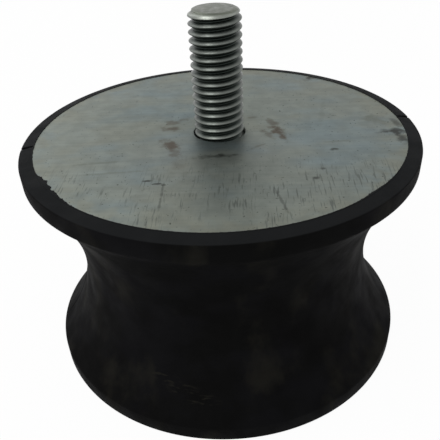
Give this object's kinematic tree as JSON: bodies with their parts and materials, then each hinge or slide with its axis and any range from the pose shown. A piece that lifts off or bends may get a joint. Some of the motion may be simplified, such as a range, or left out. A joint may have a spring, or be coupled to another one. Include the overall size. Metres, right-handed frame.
{
  "type": "bobbin vibration mount",
  "caption": "Round waisted rubber bobbin mount with a steel plate bonded to each end, a threaded stud on the top face and a tapped blind hole in the bottom face.",
  "frame": {"origin": "centre of the bottom face, where the part stands on a surface", "axes": "+Z along the centre line, from the tapped bottom plate to the stud; +X and +Y are across, and the mould nicks lie 5 degrees from the X axis"},
  "size_m": [0.08, 0.08, 0.0719],
  "materials": {
    "rubber": "moulded natural rubber, dark grey to black, matt with a faint sheen",
    "plate_steel": "zinc-plated steel, dull grey, scuffed and stained",
    "stud_steel": "zinc-plated steel, bright crests, dark oily grooves",
    "bush_steel": "zinc-plated turned steel"
  },
  "bodies": {
    "root": {"rubber_body": "rubber", "top_plate": "plate_steel", "bottom_plate": "plate_steel", "stud": "stud_steel", "threaded_bush": "bush_steel"}
  },
  "joints": []
}
